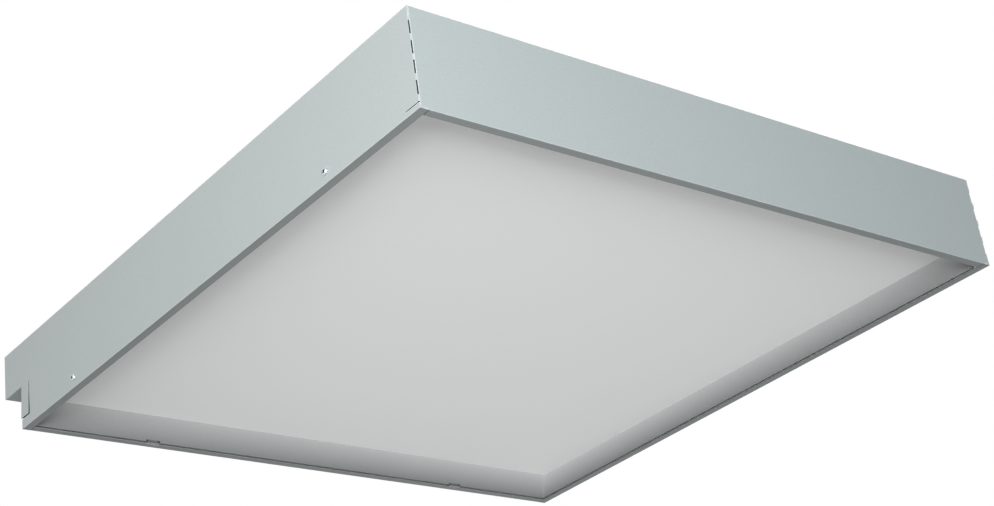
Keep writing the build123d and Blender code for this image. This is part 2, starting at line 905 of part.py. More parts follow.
def save_frame():
    ring = frame_ring()
    ends = {-1: "frame_front", 1: "frame_back"}
    rest = ring
    for end, node in ends.items():
        region = end_region(end)
        save(node, ring & region)
        rest = rest - region
    sides = rest.solids().sort_by(Axis.X)
    save("frame_left", sides[0])
    save("frame_right", sides[-1])
    save("diffuser_sheet", diffuser_sheet())
    save("diffuser_clips", diffuser_clips())
    knuckles = [hinge_knuckle(x) for x in hinge_xs()]
    save("hinge_knuckles", knuckles)
    pins = [hinge_pin(x) for x in hinge_xs()]
    save("hinge_pins", pins)
    ears = []
    for x in hinge_xs():
        ears += hinge_ears(x)
    save("hinge_ears", ears)


def save_lamps():
    contacts = []
    for index in range(lamp_count):
        x = lamp_x(index)
        name = "lamp_" + str(index + 1)
        save(name + "_tube", lamp_tube(x))
        save(name + "_caps", both_ends(lamp_cap(x)))
        save(name + "_pins", lamp_pins(x))
        save(name + "_rotors", both_ends(holder_rotor(x)))
        back_holder, front_holder = both_ends(lampholder(x))
        save("lampholder_" + str(index + 1) + "_back", back_holder)
        save("lampholder_" + str(index + 1) + "_front", front_holder)
        contacts += holder_contacts(x)
    save("lampholder_contacts", contacts)


def save_gear():
    save("gear_cover", gear_cover())
    save("gear_screws", gear_screws())
    save("ballast_base", ballast_base())
    save("ballast_case", ballast_case())
    save("ballast_board", ballast_board())
    save("ballast_sockets", gear_sockets())
    save("terminal_body", terminal_body())
    clamps = [clamp_block(pole_x(index), 0) for index in range(terminal_poles)]
    save("terminal_clamps", clamps)
    for index in range(terminal_poles):
        save("terminal_button_" + str(index + 1), terminal_button(index))
    save("cable_grommet", cable_grommet())
    save("blank_plug", blank_plug())
    save("lamp_wires", lamp_wires())
    save("mains_wires", mains_wires())
    save("wire_saddles", wire_saddles())
    save("earth_point", earth_point())


os.makedirs("parts", exist_ok=True)
save_housing()
save_frame()
save_lamps()
save_gear()
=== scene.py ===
import json
import math

import bmesh
import bpy
from mathutils import Matrix, Vector

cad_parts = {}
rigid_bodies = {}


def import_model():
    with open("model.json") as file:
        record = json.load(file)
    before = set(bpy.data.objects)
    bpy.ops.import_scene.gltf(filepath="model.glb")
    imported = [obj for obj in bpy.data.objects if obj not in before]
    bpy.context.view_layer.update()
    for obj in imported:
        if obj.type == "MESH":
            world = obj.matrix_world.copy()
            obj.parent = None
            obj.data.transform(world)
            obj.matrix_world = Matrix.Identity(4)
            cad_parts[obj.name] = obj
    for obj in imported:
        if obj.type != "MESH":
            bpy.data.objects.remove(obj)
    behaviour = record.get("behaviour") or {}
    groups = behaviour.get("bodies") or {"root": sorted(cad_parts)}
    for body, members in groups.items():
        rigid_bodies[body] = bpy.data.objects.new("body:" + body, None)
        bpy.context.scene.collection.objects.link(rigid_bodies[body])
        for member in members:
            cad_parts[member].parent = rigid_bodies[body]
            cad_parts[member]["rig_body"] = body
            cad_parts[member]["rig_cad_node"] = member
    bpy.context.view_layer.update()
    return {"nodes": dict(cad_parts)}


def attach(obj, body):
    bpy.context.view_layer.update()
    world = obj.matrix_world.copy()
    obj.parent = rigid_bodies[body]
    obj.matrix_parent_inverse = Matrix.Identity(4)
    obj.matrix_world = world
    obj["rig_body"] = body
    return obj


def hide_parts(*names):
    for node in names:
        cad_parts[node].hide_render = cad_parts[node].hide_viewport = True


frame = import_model()
nodes = frame["nodes"]
print("stage: frame loaded,", len(nodes), "nodes")


# camera, where the photograph was taken from: places in metres, lens and sensor in millimetres
cameraLook = {
    "place": (-1.0241, -1.18142, -0.66971),
    "right": (0.8009, -0.5874, -0.1163),
    "up": (-0.1860, -0.4286, 0.8841),
    "back": (-0.5692, -0.6865, -0.4525),
    "lens": 71.276,
    "sensorWidth": 36.0,
    "shiftX": 0.0687,
    "shiftY": -0.0183,
    "clipFrom": 0.02,
    "clipTo": 60.0,
}


def makeCamera(look):
    data = bpy.data.cameras.new("photoCamera")
    data.sensor_fit = "HORIZONTAL"
    data.sensor_width = look["sensorWidth"]
    data.lens = look["lens"]
    data.shift_x = look["shiftX"]
    data.shift_y = look["shiftY"]
    data.clip_start = look["clipFrom"]
    data.clip_end = look["clipTo"]
    camera = bpy.data.objects.new("photoCamera", data)
    bpy.context.scene.collection.objects.link(camera)
    turn = Matrix((look["right"], look["up"], look["back"])).transposed()
    camera.matrix_world = Matrix.Translation(look["place"]) @ turn.to_4x4()
    bpy.context.scene.camera = camera


makeCamera(cameraLook)
bpy.context.scene.view_settings.view_transform = "Standard"


# short ways to add shader nodes
def addNode(tree, kind, inputs=None, **settings):
    node = tree.nodes.new(kind)
    for key, value in settings.items():
        setattr(node, key, value)
    for key, value in (inputs or {}).items():
        if isinstance(value, bpy.types.NodeSocket):
            tree.links.new(value, node.inputs[key])
        else:
            node.inputs[key].default_value = value
    return node


def feed(tree, inputs, sockets):
    for label, socket in sockets.items():
        tree.links.new(socket, inputs[label])


def combine(tree, operation, first, second, clamp=False):
    inputs = {0: first, 1: second}
    return addNode(tree, "ShaderNodeMath", inputs, operation=operation, use_clamp=clamp).outputs[0]


def remap(tree, value, fromLow, fromHigh, toLow=0.0, toHigh=1.0):
    values = {"Value": value, "From Min": fromLow, "From Max": fromHigh, "To Min": toLow, "To Max": toHigh}
    return addNode(tree, "ShaderNodeMapRange", values).outputs[0]


def mixColour(tree, share, first, second):
    return addNode(tree, "ShaderNodeMix", {0: share, 6: first, 7: second}, data_type="RGBA").outputs[2]


def scaledColour(tree, colour, gain):
    return addNode(tree, "ShaderNodeVectorMath", {0: colour, "Scale": gain}, operation="SCALE").outputs[0]


def noiseAt(tree, point, scale, detail=3.0):
    return addNode(tree, "ShaderNodeTexNoise", {"Vector": point, "Scale": scale, "Detail": detail}).outputs[0]


def noiseVector(tree, point, scale):
    return addNode(tree, "ShaderNodeTexNoise", {"Vector": point, "Scale": scale}).outputs["Color"]


def swing(tree, value, amount):  # from 0 and 1 to half the amount down and up
    return combine(tree, "MULTIPLY", combine(tree, "SUBTRACT", value, 0.5), amount)


def objectPoint(tree):
    return addNode(tree, "ShaderNodeTexCoord").outputs["Object"]


def partsOf(tree, vector):
    return addNode(tree, "ShaderNodeSeparateXYZ", {0: vector}).outputs


# lamps of the studio: name, place, size, power and colour
studioLook = {
    "leftKey": ((-2.45, 0.2, 0.5), 1.2, 20.3, (1.02, 1.0, 0.99)),
    "frontKey": ((-0.6, -2.45, 0.5), 1.2, 11.6, (0.9, 1.02, 1.05)),
    "lowFront": ((-1.29, -1.843, -0.478), 0.75, 48.0, (0.985, 1.002, 1.008)),
    "lowLeft": ((-1.843, -1.29, -0.478), 0.75, 24.0, (1.01, 1.0, 0.997)),
    "farLow": ((0.8, 0.8, -1.05), 0.9, 3.1, (1.0, 1.0, 1.0)),
    "farSide": ((0.85, 0.85, -1.9), 1.2, 3.0, (1.0, 1.0, 1.0)),
    "backPanel": ((2.6, 2.7, 1.3), 1.6, 105.0, (1.0, 1.0, 1.0)),
    "topPanel": ((1.05, 0.95, 3.0), 1.4, 84.0, (1.0, 1.0, 1.0)),
}
studioAim = (0.0, 0.0, 0.02)
worldLook = {"ambient": 0.03, "backdrop": 1.0}
floorLook = {
    "level": -4.2, "radius": 14.0, "corners": 96, "cloudScale": 1.2, "shadeLow": 0.8, "shadeHigh": 0.84,
    "bounce": 0.07, "glow": 0.72, "fadeFrom": 3.0, "fadeTo": 12.5,
}
white = (1, 1, 1, 1)


def makeLights(look, aim):
    for name, (place, size, power, colour) in look.items():
        data = bpy.data.lights.new(name, "AREA")
        data.shape = "SQUARE"
        data.size = size
        data.energy = power
        data.color = colour
        light = bpy.data.objects.new(name, data)
        bpy.context.scene.collection.objects.link(light)
        light.location = place
        light.rotation_euler = (Vector(aim) - Vector(place)).to_track_quat("-Z", "Y").to_euler()
        light.visible_camera = False


def raysThatShowBackdrop(tree):
    path = addNode(tree, "ShaderNodeLightPath").outputs
    first = combine(tree, "ADD", path["Is Camera Ray"], path["Is Glossy Ray"])
    return combine(tree, "ADD", first, path["Is Transmission Ray"], True)


def makeWorld(look):
    world = bpy.data.worlds.new("studioWorld")
    world.use_nodes = True
    bpy.context.scene.world = world
    tree = world.node_tree
    tree.nodes.clear()
    ambient, backdrop = [
        addNode(tree, "ShaderNodeBackground", {"Color": white, "Strength": look[kind]}).outputs[0]
        for kind in ("ambient", "backdrop")]
    mixed = addNode(tree, "ShaderNodeMixShader", {0: raysThatShowBackdrop(tree), 1: ambient, 2: backdrop})
    addNode(tree, "ShaderNodeOutputWorld", {"Surface": mixed.outputs[0]})


def makeFloor(look):
    bpy.ops.object.select_all(action="DESELECT")
    bpy.ops.mesh.primitive_circle_add(
        vertices=look["corners"], radius=look["radius"], fill_type="NGON", location=(0, 0, look["level"]))
    floor = bpy.context.object
    floor.name = "studioFloor"
    material = bpy.data.materials.new("floorPale")
    material.use_nodes = True
    tree = material.node_tree
    tree.nodes.clear()
    point = objectPoint(tree)
    cloud = noiseAt(tree, point, look["cloudScale"])
    shade = remap(tree, cloud, 0.0, 1.0, look["shadeLow"], look["shadeHigh"])
    seen = raysThatShowBackdrop(tree)
    tone = remap(tree, seen, 0.0, 1.0, look["bounce"], 1.0)
    matte = addNode(tree, "ShaderNodeBsdfDiffuse", {"Color": scaledColour(tree, shade, tone)}).outputs[0]
    glow = addNode(tree, "ShaderNodeEmission", {"Color": white, "Strength": 1.0}).outputs[0]
    reach = addNode(tree, "ShaderNodeVectorMath", {0: point}, operation="LENGTH").outputs["Value"]
    fade = remap(tree, reach, look["fadeFrom"], look["fadeTo"], look["glow"], 1.0)
    share = combine(tree, "MULTIPLY", seen, fade)
    mixed = addNode(tree, "ShaderNodeMixShader", {0: share, 1: matte, 2: glow})
    addNode(tree, "ShaderNodeOutputMaterial", {"Surface": mixed.outputs[0]})
    floor.data.materials.append(material)


makeLights(studioLook, studioAim)
makeWorld(worldLook)
makeFloor(floorLook)
print("stage: camera, lights, world and floor made")


# shader node groups that several finishes share; each dictionary holds what all its users have in common
socketKinds = {float: "NodeSocketFloat", 3: "NodeSocketVector", 4: "NodeSocketColor"}
surfaceOutputs = {"Colour": "Color", "Roughness": "Float", "Height": "Float"}
maskOutputs = {"Colour": "Color", "Mask": "Float"}
midGrey = (0.5, 0.5, 0.5, 1.0)


def newGroup(name, inputs, outputs):
    tree = bpy.data.node_groups.new(name, "ShaderNodeTree")
    for label, value in inputs.items():
        kind = socketKinds[len(value) if isinstance(value, tuple) else float]
        tree.interface.new_socket(name=label, in_out="INPUT", socket_type=kind).default_value = value
    for label, kind in outputs.items():
        tree.interface.new_socket(name=label, in_out="OUTPUT", socket_type="NodeSocket" + kind)
    return tree, tree.nodes.new("NodeGroupInput").outputs, tree.nodes.new("NodeGroupOutput").inputs


def useGroup(tree, name, inputs):
    return addNode(tree, "ShaderNodeGroup", inputs, node_tree=bpy.data.node_groups[name]).outputs


def makeFineGrain():
    tree, given, result = newGroup("fineGrain", {
        "Colour": midGrey, "Fleck Scale": 1200.0, "Fleck Depth": 0.06, "Cloud Scale": 8.0,
        "Cloud Depth": 0.04, "Roughness": 0.5, "Roughness Spread": 0.1}, surfaceOutputs)
    point = objectPoint(tree)
    fleck = noiseAt(tree, point, given["Fleck Scale"])
    cloud = noiseAt(tree, point, given["Cloud Scale"])
    flecks = swing(tree, fleck, given["Fleck Depth"])
    gain = combine(tree, "ADD", flecks, swing(tree, cloud, given["Cloud Depth"]))
    feed(tree, result, {
        "Colour": scaledColour(tree, given["Colour"], combine(tree, "ADD", gain, 1.0)),
        "Roughness": combine(tree, "ADD", given["Roughness"], swing(tree, cloud, given["Roughness Spread"])),
        "Height": fleck})


# painted highlight along folds and edges, broken up in patches: the cosines of the turn where it starts and
# is full, and its patches
foldEdgeLook = {
    "samples": 4, "turnFrom": 0.99, "turnFull": 0.8, "patchScale": 140.0, "patchFrom": 0.3, "patchTo": 0.6,
    "patchLeast": 0.45,
}


def makeFoldEdge(look):
    tree, given, result = newGroup("foldEdge", {
        "Colour": midGrey, "Edge Colour": (0.7, 0.7, 0.7, 1.0), "Width": 0.001, "Share": 0.5}, maskOutputs)
    rounded = addNode(tree, "ShaderNodeBevel", {"Radius": given["Width"]}, samples=look["samples"]).outputs[0]
    plain = addNode(tree, "ShaderNodeNewGeometry").outputs["Normal"]
    turn = addNode(tree, "ShaderNodeVectorMath", {0: rounded, 1: plain}, operation="DOT_PRODUCT")
    edge = remap(tree, turn.outputs["Value"], look["turnFrom"], look["turnFull"])
    patch = noiseAt(tree, objectPoint(tree), look["patchScale"])
    broken = remap(tree, patch, look["patchFrom"], look["patchTo"], look["patchLeast"], 1.0)
    mask = combine(tree, "MULTIPLY", combine(tree, "MULTIPLY", edge, broken), given["Share"])
    feed(tree, result, {"Mask": mask, "Colour": mixColour(tree, mask, given["Colour"], given["Edge Colour"])})


# dust on faces that look up: how far up they look where it starts and is full, its patches and its specks
dustFilmLook = {
    "upFrom": 0.5, "upFull": 1.0, "patchDetail": 5.0, "patchFrom": 0.3, "patchTo": 0.75,
    "speckScale": 900.0, "speckDetail": 2.0, "speckFrom": 0.35, "speckTo": 0.7, "speckLeast": 0.5,
}


def makeDustFilm(look):
    tree, given, result = newGroup("dustFilm", {
        "Colour": midGrey, "Dust Colour": (0.45, 0.43, 0.4, 1.0), "Amount": 0.2,
        "Patch Scale": 6.0}, maskOutputs)
    source = addNode(tree, "ShaderNodeTexCoord").outputs
    lying = remap(tree, partsOf(tree, source["Normal"])["Z"], look["upFrom"], look["upFull"])
    patch = noiseAt(tree, source["Object"], given["Patch Scale"], look["patchDetail"])
    patch = remap(tree, patch, look["patchFrom"], look["patchTo"])
    speck = noiseAt(tree, source["Object"], look["speckScale"], look["speckDetail"])
    speck = remap(tree, speck, look["speckFrom"], look["speckTo"], look["speckLeast"], 1.0)
    mask = combine(tree, "MULTIPLY", combine(tree, "MULTIPLY", lying, patch), speck)
    mask = combine(tree, "MULTIPLY", mask, given["Amount"], True)
    feed(tree, result, {"Mask": mask, "Colour": mixColour(tree, mask, given["Colour"], given["Dust Colour"])})


rolledMetalLook = {"lineScale": 1.0, "lineDetail": 4.0, "cloudScale": 30.0}


def makeRolledMetal(look):
    tree, given, result = newGroup("rolledMetal", {
        "Colour": (0.6, 0.6, 0.6, 1.0), "Stretch": (400.0, 8.0, 400.0), "Depth": 0.1, "Roughness": 0.3,
        "Roughness Spread": 0.15}, surfaceOutputs)
    point = objectPoint(tree)
    drawn = addNode(tree, "ShaderNodeMapping", {"Vector": point, "Scale": given["Stretch"]}).outputs[0]
    lines = noiseAt(tree, drawn, look["lineScale"], look["lineDetail"])
    cloud = noiseAt(tree, point, look["cloudScale"])
    gain = combine(tree, "ADD", swing(tree, lines, given["Depth"]), swing(tree, cloud, given["Depth"]))
    feed(tree, result, {
        "Colour": scaledColour(tree, given["Colour"], combine(tree, "ADD", gain, 1.0)),
        "Roughness": combine(tree, "ADD", given["Roughness"], swing(tree, lines, given["Roughness Spread"])),
        "Height": lines})


zincSpangleLook = {"bendScale": 60.0, "bendDepth": 0.004, "roughnessSpread": 0.2, "grainScale": 500.0}


def makeZincSpangle(look):
    tree, given, result = newGroup("zincSpangle", {
        "Colour": (0.6, 0.62, 0.64, 1.0), "Crystal Scale": 90.0, "Depth": 0.2,
        "Roughness": 0.35}, surfaceOutputs)
    point = objectPoint(tree)
    bend = scaledColour(tree, noiseVector(tree, point, look["bendScale"]), look["bendDepth"])
    bent = addNode(tree, "ShaderNodeVectorMath", {0: point, 1: bend}, operation="ADD").outputs[0]
    cells = addNode(tree, "ShaderNodeTexVoronoi", {"Vector": bent, "Scale": given["Crystal Scale"]})
    tone = addNode(tree, "ShaderNodeSeparateColor", {0: cells.outputs["Color"]}).outputs[0]
    gain = combine(tree, "ADD", swing(tree, tone, given["Depth"]), 1.0)
    feed(tree, result, {
        "Colour": scaledColour(tree, given["Colour"], gain),
        "Roughness": combine(tree, "ADD", given["Roughness"], swing(tree, tone, look["roughnessSpread"])),
        "Height": noiseAt(tree, point, look["grainScale"])})


makeFineGrain()
makeFoldEdge(foldEdgeLook)
makeDustFilm(dustFilmLook)
makeRolledMetal(rolledMetalLook)
makeZincSpangle(zincSpangleLook)
print("stage: shared shader groups made")


# finishes, one for each material slot of the record; a base holds what a finish of that kind has if not told
paintBase = {"specular": 0.5, "coat": 0.0, "coatRoughness": 0.25, "dustRoughness": 0.3, "bumpDepth": 0.0003}
mouldBase = {
    "fleckScale": 2200.0, "fleckDepth": 0.06, "cloudScale": 40.0, "cloudDepth": 0.07, "spread": 0.12,
    "edgeWidth": 0.0005, "edgeShare": 0.5, "dust": 0.12, "bump": 0.15, "bumpDepth": 0.0002,
}
rolledBase = {"spread": 0.15, "edgeWidth": 0.0004, "edgeShare": 0.6, "bump": 0.2, "bumpDepth": 0.0001}
galvanisedBase = {"edgeWidth": 0.0005, "edgeShare": 0.6, "bump": 0.12, "bumpDepth": 0.0001}


def newFinish(name):
    material = bpy.data.materials.new(name)
    material.use_nodes = True
    tree = material.node_tree
    return material, tree, tree.nodes["Principled BSDF"].inputs


def opaque(colour):
    return (colour[0], colour[1], colour[2], 1.0)


def surfaceGrain(tree, look, colour=None):
    return useGroup(tree, "fineGrain", {
        "Colour": opaque(look["colour"]) if colour is None else colour, "Fleck Scale": look["fleckScale"],
        "Fleck Depth": look["fleckDepth"], "Cloud Scale": look["cloudScale"],
        "Cloud Depth": look["cloudDepth"], "Roughness": look["roughness"],
        "Roughness Spread": look["spread"]})


# painted highlight: the edges and folds of a part are lighter than its faces
def wornEdge(tree, look, colour):
    return useGroup(tree, "foldEdge", {
        "Colour": colour, "Edge Colour": opaque(look["edgeColour"]), "Width": look["edgeWidth"],
        "Share": look["edgeShare"]})["Colour"]


def dustOn(tree, look, colour):
    return useGroup(tree, "dustFilm", {"Colour": colour, "Amount": look["dust"]})


def addBump(tree, shader, height, look):
    bump = addNode(tree, "ShaderNodeBump", {
        "Height": height, "Strength": look["bump"], "Distance": look["bumpDepth"]})
    feed(tree, shader, {"Normal": bump.outputs[0]})


def paintedSheet(name, look):
    look = {**paintBase, **look}
    material, tree, shader = newFinish(name)
    grain = surfaceGrain(tree, look)
    dust = dustOn(tree, look, wornEdge(tree, look, grain["Colour"]))
    dusty = combine(tree, "MULTIPLY", dust["Mask"], look["dustRoughness"])
    feed(tree, shader, {
        "Base Color": dust["Colour"], "Roughness": combine(tree, "ADD", grain["Roughness"], dusty)})
    addBump(tree, shader, grain["Height"], look)
    shader["Coat Weight"].default_value = look["coat"]
    shader["Specular IOR Level"].default_value = look["specular"]
    shader["Coat Roughness"].default_value = look["coatRoughness"]
    if "spill" in look:  # painted light: an emission standing for the opal sheet's light on the skirt, stronger higher up and toward the far right corner
        spot = partsOf(tree, objectPoint(tree))
        high = remap(tree, spot["Z"], look["spillFrom"], look["spillTo"], 0.0, look["spill"])
        diagonal = combine(tree, "ADD", spot["X"], spot["Y"])
        far = remap(
            tree, diagonal, look["diagonalFrom"], look["diagonalTo"], look["spillNear"], look["spillFar"])
        share = combine(tree, "MULTIPLY", high, far)
        feed(tree, shader, {"Emission Color": scaledColour(tree, dust["Colour"], share)})
        shader["Emission Strength"].default_value = 1.0
    return material


def mouldedPart(name, look):
    look = {**mouldBase, **look}
    material, tree, shader = newFinish(name)
    grain = surfaceGrain(tree, look)
    dust = dustOn(tree, look, wornEdge(tree, look, grain["Colour"]))
    feed(tree, shader, {"Base Color": dust["Colour"], "Roughness": grain["Roughness"]})
    addBump(tree, shader, grain["Height"], look)
    return material


def metalPart(name, group, look, inputs):
    material, tree, shader = newFinish(name)
    metal = useGroup(tree, group, {
        "Colour": opaque(look["colour"]), "Depth": look["depth"], "Roughness": look["roughness"], **inputs})
    feed(tree, shader, {"Base Color": wornEdge(tree, look, metal["Colour"]), "Roughness": metal["Roughness"]})
    shader["Metallic"].default_value = 1.0
    addBump(tree, shader, metal["Height"], look)
    return material


def rolledPart(name, look):
    look = {**rolledBase, **look}
    inputs = {"Stretch": look["stretch"], "Roughness Spread": look["spread"]}
    return metalPart(name, "rolledMetal", look, inputs)


def galvanisedPart(name, look):
    look = {**galvanisedBase, **look}
    return metalPart(name, "zincSpangle", look, {"Crystal Scale": look["crystalScale"]})


def opalSheet(name, look):
    material, tree, shader = newFinish(name)
    grain = surfaceGrain(tree, look)
    dust = dustOn(tree, look, grain["Colour"])
    # painted light and shade: the face that looks down glows though the lamps inside give no light; faces
    # that do not look down are darker and have no glow
    upward = partsOf(tree, addNode(tree, "ShaderNodeTexCoord").outputs["Normal"])["Z"]
    shade = remap(tree, upward, look["upOutside"], look["upInside"], 1.0, look["innerShade"])
    glow = remap(tree, upward, look["upOutside"], look["upInside"], look["glow"], 0.0)
    feed(tree, shader, {
        "Base Color": scaledColour(tree, dust["Colour"], shade), "Roughness": grain["Roughness"],
        "Emission Color": scaledColour(tree, grain["Colour"], glow)})
    shader["Emission Strength"].default_value = 1.0
    addBump(tree, shader, grain["Height"], look)
    return material


def lampGlass(name, look):
    material, tree, shader = newFinish(name)
    grain = surfaceGrain(tree, look)
    point = objectPoint(tree)
    reach = combine(tree, "ABSOLUTE", partsOf(tree, point)["Y"], 0.0)
    uneven = swing(tree, noiseAt(tree, point, look["ringScale"]), look["ringDepth"])
    ringed = combine(tree, "ADD", reach, uneven)
    burnt = remap(tree, ringed, look["burnFrom"], look["burnTo"], 0.0, look["burnShare"])
    feed(tree, shader, {
        "Base Color": mixColour(tree, burnt, grain["Colour"], opaque(look["burnColour"])),
        "Roughness": grain["Roughness"]})
    shader["Coat Weight"].default_value = look["coat"]
    shader["Coat Roughness"].default_value = look["coatRoughness"]
    addBump(tree, shader, grain["Height"], look)
    return material


def circuitBoard(name, look):
    material, tree, shader = newFinish(name)
    point = objectPoint(tree)
    weave = addNode(tree, "ShaderNodeTexWave", {
        "Vector": point, "Scale": look["weaveScale"], "Distortion": look["weaveBend"]}).outputs[0]
    cells = addNode(tree, "ShaderNodeTexVoronoi", {
        "Vector": point, "Scale": look["trackScale"]}, distance="CHEBYCHEV").outputs[0]
    tracks = remap(tree, cells, look["trackFrom"], look["trackTo"])
    base = mixColour(tree, tracks, opaque(look["colour"]), opaque(look["trackColour"]))
    woven = scaledColour(tree, base, remap(tree, weave, 0.0, 1.0, look["weaveLow"], look["weaveHigh"]))
    rough = remap(tree, tracks, 0.0, 1.0, look["roughness"], look["trackRoughness"])
    feed(tree, shader, {"Base Color": woven, "Roughness": rough})
    addBump(tree, shader, weave, look)
    return material


finishLook = {
    "housing_paint": (paintedSheet, {
        "colour": (0.336, 0.369, 0.3685), "fleckScale": 750.0, "fleckDepth": 0.26, "cloudScale": 7.0,
        "cloudDepth": 0.05, "roughness": 0.55, "spread": 0.1, "specular": 0.32,
        "edgeColour": (0.66, 0.71, 0.705), "edgeWidth": 0.0012, "edgeShare": 0.85, "dust": 0.22,
        "bump": 0.22}),
    # dark paint with painted light: an emission grows toward the top of the skirt and toward the far right
    # corner, so the skirt is darker toward the bottom
    "frame_paint": (paintedSheet, {
        "colour": (0.17, 0.1745, 0.1755), "fleckScale": 800.0, "fleckDepth": 0.2, "cloudScale": 9.0,
        "cloudDepth": 0.04, "roughness": 0.46, "spread": 0.08, "edgeColour": (0.3, 0.31, 0.31),
        "edgeWidth": 0.0005, "edgeShare": 0.0, "dust": 0.15, "bump": 0.18, "spill": 1.3, "spillFrom": 0.0,
        "spillTo": 0.0225, "diagonalFrom": 0.0, "diagonalTo": 0.56, "spillNear": 0.84, "spillFar": 1.3}),
    "gear_paint": (paintedSheet, {
        "colour": (0.8, 0.81, 0.8), "fleckScale": 900.0, "fleckDepth": 0.03, "cloudScale": 12.0,
        "cloudDepth": 0.03, "roughness": 0.4, "spread": 0.08, "edgeColour": (0.86, 0.87, 0.86),
        "edgeWidth": 0.0006, "edgeShare": 0.4, "dust": 0.0, "bump": 0.1, "coat": 0.1}),
    "opal_sheet": (opalSheet, {
        "colour": (0.84, 0.85, 0.845), "fleckScale": 800.0, "fleckDepth": 0.1, "cloudScale": 5.0,
        "cloudDepth": 0.02, "roughness": 0.42, "spread": 0.06, "glow": 0.176, "innerShade": 0.62,
        "upOutside": -0.8, "upInside": -0.3, "dust": 0.1, "bump": 0.1, "bumpDepth": 0.0001}),
    "zinc_screw": (rolledPart, {
        "colour": (0.6, 0.62, 0.64), "stretch": (700.0, 700.0, 60.0), "depth": 0.2, "roughness": 0.22,
        "edgeColour": (0.9, 0.91, 0.92)}),
    "zinc_nut": (rolledPart, {
        "colour": (0.66, 0.67, 0.69), "stretch": (90.0, 500.0, 500.0), "depth": 0.16, "roughness": 0.32,
        "edgeColour": (0.86, 0.87, 0.88)}),
    "spring_steel": (rolledPart, {
        "colour": (0.56, 0.57, 0.59), "stretch": (900.0, 900.0, 30.0), "depth": 0.2, "roughness": 0.3,
        "edgeColour": (0.8, 0.81, 0.82)}),
    "hinge_steel": (rolledPart, {
        "colour": (0.21, 0.22, 0.222), "stretch": (40.0, 900.0, 900.0), "depth": 0.15, "roughness": 0.46,
        "edgeColour": (0.22, 0.23, 0.23)}),
    "galvanised": (galvanisedPart, {
        "colour": (0.62, 0.645, 0.67), "crystalScale": 110.0, "depth": 0.22, "roughness": 0.36,
        "edgeColour": (0.8, 0.82, 0.84)}),
    "circuit_board": (circuitBoard, {
        "colour": (0.18, 0.2, 0.07), "trackColour": (0.3, 0.34, 0.12), "roughness": 0.55,
        "trackRoughness": 0.35, "trackScale": 240.0, "trackFrom": 0.42, "trackTo": 0.46,
        "weaveScale": 900.0, "weaveBend": 1.5, "weaveLow": 0.9, "weaveHigh": 1.08, "bump": 0.1,
        "bumpDepth": 0.0001}),
    "grey_plastic": (mouldedPart, {
        "colour": (0.28, 0.29, 0.3), "roughness": 0.48, "edgeColour": (0.42, 0.43, 0.44)}),
    "white_plastic": (mouldedPart, {
        "colour": (0.8, 0.8, 0.77), "roughness": 0.4, "edgeColour": (0.88, 0.88, 0.86), "edgeShare": 0.3}),
    "orange_plastic": (mouldedPart, {
        "colour": (0.72, 0.2, 0.03), "roughness": 0.35, "edgeColour": (0.85, 0.35, 0.1)}),
    "brass": (rolledPart, {
        "colour": (0.72, 0.52, 0.24), "stretch": (300.0, 60.0, 300.0), "depth": 0.18, "roughness": 0.27,
        "edgeColour": (0.86, 0.7, 0.42)}),
    "black_rubber": (mouldedPart, {
        "colour": (0.03, 0.03, 0.032), "roughness": 0.68, "edgeColour": (0.09, 0.09, 0.09), "bump": 0.3,
        "dust": 0.3}),
    "black_plastic": (mouldedPart, {
        "colour": (0.035, 0.035, 0.037), "roughness": 0.5, "edgeColour": (0.1, 0.1, 0.1), "dust": 0.3}),
    "wire_sleeve": (mouldedPart, {
        "colour": (0.74, 0.75, 0.76), "roughness": 0.36, "edgeColour": (0.8, 0.8, 0.8), "edgeShare": 0.0}),
    "lamp_glass": (lampGlass, {
        "colour": (0.86, 0.87, 0.86), "fleckScale": 1800.0, "fleckDepth": 0.03, "cloudScale": 25.0,
        "cloudDepth": 0.04, "roughness": 0.2, "spread": 0.08, "burnFrom": 0.262, "burnTo": 0.292,
        "burnShare": 0.55, "burnColour": (0.35, 0.31, 0.27), "ringScale": 160.0, "ringDepth": 0.006,
        "coat": 0.6, "coatRoughness": 0.04, "bump": 0.04, "bumpDepth": 0.0001}),
    "lamp_cap": (rolledPart, {
        "colour": (0.76, 0.77, 0.78), "stretch": (60.0, 700.0, 60.0), "depth": 0.14, "roughness": 0.24,
        "edgeColour": (0.9, 0.9, 0.9)}),
    "pin_metal": (rolledPart, {
        "colour": (0.76, 0.63, 0.38), "stretch": (500.0, 60.0, 500.0), "depth": 0.15, "roughness": 0.25,
        "edgeColour": (0.9, 0.8, 0.6)}),
    "rotor_plastic": (mouldedPart, {
        "colour": (0.74, 0.74, 0.7), "roughness": 0.42, "edgeColour": (0.84, 0.84, 0.8)}),
}

